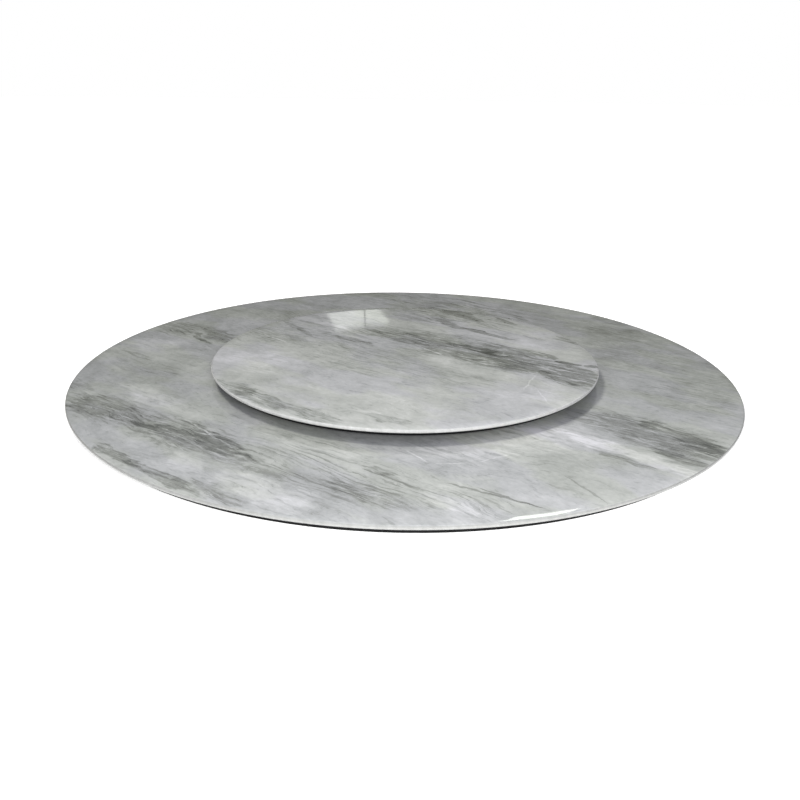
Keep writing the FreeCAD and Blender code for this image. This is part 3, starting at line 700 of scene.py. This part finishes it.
    from_axis = add_node(tree, "VectorMath", {0: flat}, operation="LENGTH").outputs["Value"]
    ground = ease(from_axis, edge_radius, edge_radius + EDGE_BLEND)
    height = add_node(tree, "SeparateXYZ", {0: place}).outputs["Z"]
    under = add_node(tree, "Math", {0: height, 1: middle}, operation="LESS_THAN").outputs[0]
    bare = add_node(tree, "Math", {0: ground, 1: under}, operation="MAXIMUM").outputs[0]
    # The ground edge and the underside show the body tones, which on the table slab carry painted shade.
    body = add_node(tree, "ValToRGB", {"Fac": add(0.5, mottle, 0.5)}, body_and_shade_tones).outputs[0]
    shown = add_node(tree, "Mix", {0: bare, 6: veined, 7: body}, data_type="RGBA").outputs[2]
    tree.links.new(shown, sockets["Base Color"])

    roughness = add(GLAZE_ROUGHNESS, layer("smear", flat), GLAZE_SMEAR)
    tree.links.new(roughness, sockets["Roughness"])
    polish = add_node(tree, "Bump", {"Height": layer("polish", flat), "Distance": GLAZE_RELIEF,
                                     "Strength": 0.3})
    tree.links.new(polish.outputs[0], sockets["Normal"])
    return finish


for slab, body, base, marks, combed, hairlines, body_and_shade_tones, shift in (
        ("table_slab", "tabletop", TABLE_TONE, TABLE_MARKS, TABLE_COMBED, TABLE_HAIRLINES, TABLE_BODY_SHADED, 0),
        ("turntable_slab", "turntable", TURNTABLE_TONE, TURNTABLE_MARKS, TURNTABLE_COMBED,
         TURNTABLE_HAIRLINES, TURNTABLE_BODY, TURNTABLE_SHIFT)):
    low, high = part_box(slab)
    middle = (low.z + high.z) / 2
    points, faces = turned(*slab_profile(high.x, low.z, high.z, EDGE_ROUNDING))
    stone = polished_stone(f"{slab}_polished_stone", base, marks, combed, hairlines, body_and_shade_tones, shift,
                           high.x - FACE_MARGIN, middle)
    mesh = new_piece(f"{slab}_stone", points, faces, stone, body, "polished_stone", slab)
    plan_map(mesh, high.x, middle)


# Stage. A pale studio floor under a broad sun and an even fill, a softbox in front for the near rim,
# a dim room and panes of light for the polished stone to mirror, and the camera.
FLOOR_COLOUR, FLOOR_GLOW = "#fdfdfc", 0.5
FLOOR_RADIUS, FLOOR_DROP, FLOOR_STEPS = 30, 0.5 * MM, 64
PANE_COLOUR = "#f6faf2"
WINDOW_WALL = 2.6    # metres behind the table's axis
WINDOW_GLOW, HIGH_GLOW = 1.31, 9
WINDOW_PANES = {    # each pane's glow, and its corners on the wall (x, height over the table top)
    "window_pane_left": (WINDOW_GLOW, [(-0.465, 0.566), (-0.234, 0.556), (-0.228, 0.695),
                                       (-0.386, 0.714)]),
    "window_pane_right": (WINDOW_GLOW, [(-0.226, 0.556), (-0.172, 0.550), (-0.081, 0.675),
                                        (-0.220, 0.690)]),
    "high_window_pane": (HIGH_GLOW, [(0.75, 2.2), (1.2, 2.16), (1.2, 2.9), (0.75, 2.9)]),
}
BACKDROP, FILL_COLOUR, FILL_GLOW = "#ffffff", "#f0eefb", 0.46
ROOM_TONES = {0.0: "#3a3b36", 0.25: "#55564f", 0.33: "#8f918f", 0.42: "#c8cacd", 0.5: "#f0f1f5"}
ROOM_GLOW = 1.3
KEY_COLOUR, KEY_GLOW = "#fffdf4", 1.9
KEY_WIDTH, KEY_FROM = math.radians(14), Vector((-0.5, 0.5, 1))
SOFTBOX_WATTS, SOFTBOX_SIZE = 40, 0.8
SOFTBOX_PLACE, SOFTBOX_AIM = Vector((0.2, -2.1, 0.6)), Vector((0, -0.2, 0))
CAMERA_PLACE, CAMERA_AIM = Vector((0, -1.858, 0.6286)), Vector((-0.0092, -0.2173, 0))
CAMERA_ROLL, CAMERA_LENS, CAMERA_SENSOR = math.radians(0.783), 37.41, 36
table_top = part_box("table_slab")[1].z


def add_to_stage(name, points, faces, finish):
    """A mesh that belongs to the stage and not to the table; returns its object."""
    mesh = bpy.data.meshes.new(name)
    mesh.from_pydata(points, [], faces)
    mesh.materials.append(finish)
    staged = bpy.data.objects.new(name, mesh)
    bpy.context.scene.collection.objects.link(staged)
    return staged


points, faces = turned([0, FLOOR_RADIUS], [-FLOOR_DROP, -FLOOR_DROP], FLOOR_STEPS)
floor_finish, tree, sockets = new_finish("pale_floor", Roughness=0.9)
sockets["Base Color"].default_value = linear(FLOOR_COLOUR)
sockets["Specular IOR Level"].default_value = 0
sockets["Emission Color"].default_value = linear(FLOOR_COLOUR)
sockets["Emission Strength"].default_value = FLOOR_GLOW
add_to_stage("floor", points.tolist(), faces.tolist(), floor_finish)

for name, (strength, pane) in WINDOW_PANES.items():
    glowing = bpy.data.materials.new(f"{name}_glow")
    glowing.use_nodes = True
    tree = glowing.node_tree
    tree.nodes.clear()
    glow = add_node(tree, "Emission", {"Color": linear(PANE_COLOUR), "Strength": strength}).outputs[0]
    add_node(tree, "OutputMaterial", {"Surface": glow})
    corners = [(x, WINDOW_WALL, z + table_top) for x, z in pane]
    staged = add_to_stage(name, corners, [(0, 1, 2, 3)], glowing)
    staged.visible_camera = staged.visible_diffuse = False

# Reflections meet a room that is dark at the floor and pale overhead, the fill comes evenly from all
# round, and the camera sees the white backdrop.
world = bpy.data.worlds.new("studio")
bpy.context.scene.world = world
world.use_nodes = True
tree = world.node_tree
tree.nodes.clear()
path = add_node(tree, "LightPath").outputs
way = add_node(tree, "TexCoord").outputs["Generated"]
rise = add_node(tree, "SeparateXYZ", {0: way}).outputs["Z"]
room = add_node(tree, "ValToRGB", {"Fac": rise}, ROOM_TONES).outputs[0]
seen = add_node(tree, "Background", {"Color": linear(BACKDROP), "Strength": 1.0}).outputs[0]
fill = add_node(tree, "Background", {"Color": linear(FILL_COLOUR), "Strength": FILL_GLOW}).outputs[0]
mirrored = add_node(tree, "Background", {"Color": room, "Strength": ROOM_GLOW}).outputs[0]
lit = add_node(tree, "MixShader", {0: path["Is Glossy Ray"], 1: fill, 2: mirrored}).outputs[0]
both = add_node(tree, "MixShader", {0: path["Is Camera Ray"], 1: lit, 2: seen}).outputs[0]
add_node(tree, "OutputWorld", {"Surface": both})

# Neither lamp is mirrored: a polished rim would draw each as a hard line.
key_light = bpy.data.lights.new("key", "SUN")
key_light.energy = KEY_GLOW
key_light.angle = KEY_WIDTH
key_light.color = linear(KEY_COLOUR)[:3]
key = bpy.data.objects.new("key", key_light)
key.rotation_euler = (-KEY_FROM).to_track_quat("-Z", "Y").to_euler()
key.visible_glossy = False
bpy.context.scene.collection.objects.link(key)

softbox_light = bpy.data.lights.new("softbox", "AREA")
softbox_light.energy = SOFTBOX_WATTS
softbox_light.size = SOFTBOX_SIZE
softbox = bpy.data.objects.new("softbox", softbox_light)
softbox.location = SOFTBOX_PLACE
softbox.rotation_euler = (SOFTBOX_AIM - SOFTBOX_PLACE).to_track_quat("-Z", "Y").to_euler()
softbox.visible_camera = softbox.visible_glossy = False
bpy.context.scene.collection.objects.link(softbox)

camera_data = bpy.data.cameras.new("camera")
camera_data.lens = CAMERA_LENS
camera_data.sensor_width = CAMERA_SENSOR
camera = bpy.data.objects.new("camera", camera_data)
camera.location = CAMERA_PLACE + Vector((0, 0, table_top))
looking = (CAMERA_AIM - CAMERA_PLACE).to_track_quat("-Z", "Y")
camera.rotation_euler = (looking @ Quaternion((0, 0, 1), CAMERA_ROLL)).to_euler()
bpy.context.scene.collection.objects.link(camera)
bpy.context.scene.camera = camera
bpy.context.scene.view_settings.view_transform = "Standard"
